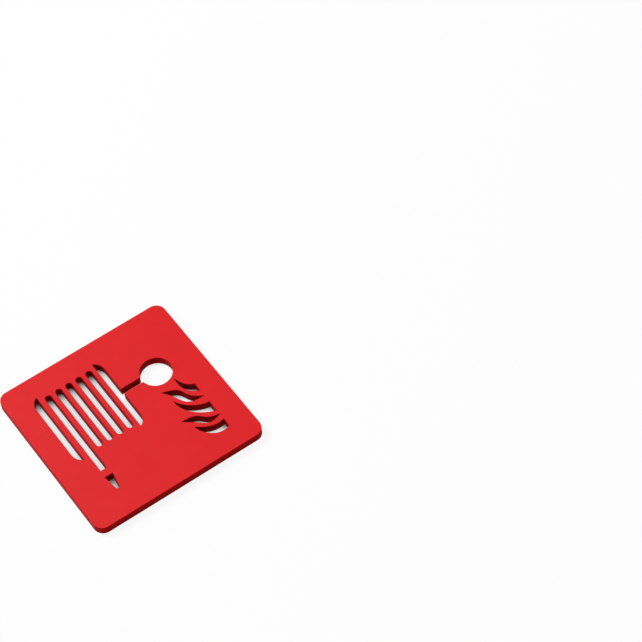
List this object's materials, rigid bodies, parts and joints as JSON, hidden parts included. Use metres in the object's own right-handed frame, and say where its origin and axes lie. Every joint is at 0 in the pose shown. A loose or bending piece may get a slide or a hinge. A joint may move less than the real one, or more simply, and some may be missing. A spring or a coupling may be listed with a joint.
{
  "type": "fire hose sign",
  "caption": "Square red acrylic sign plate with round corners and a fire hose reel, hanging nozzle, round disc and flames cut right through it.",
  "frame": {"origin": "middle of the plate's flat back face", "axes": "+Z out of the front face, away from the wall or table behind it; +Y to the top of the picture; +X to the picture's right, where the flames are"},
  "size_m": [0.1, 0.1, 0.005],
  "materials": {
    "red_acrylic": "satin front, polished cut edges"
  },
  "bodies": {
    "root": {"sign_plate": "red_acrylic"}
  },
  "joints": []
}
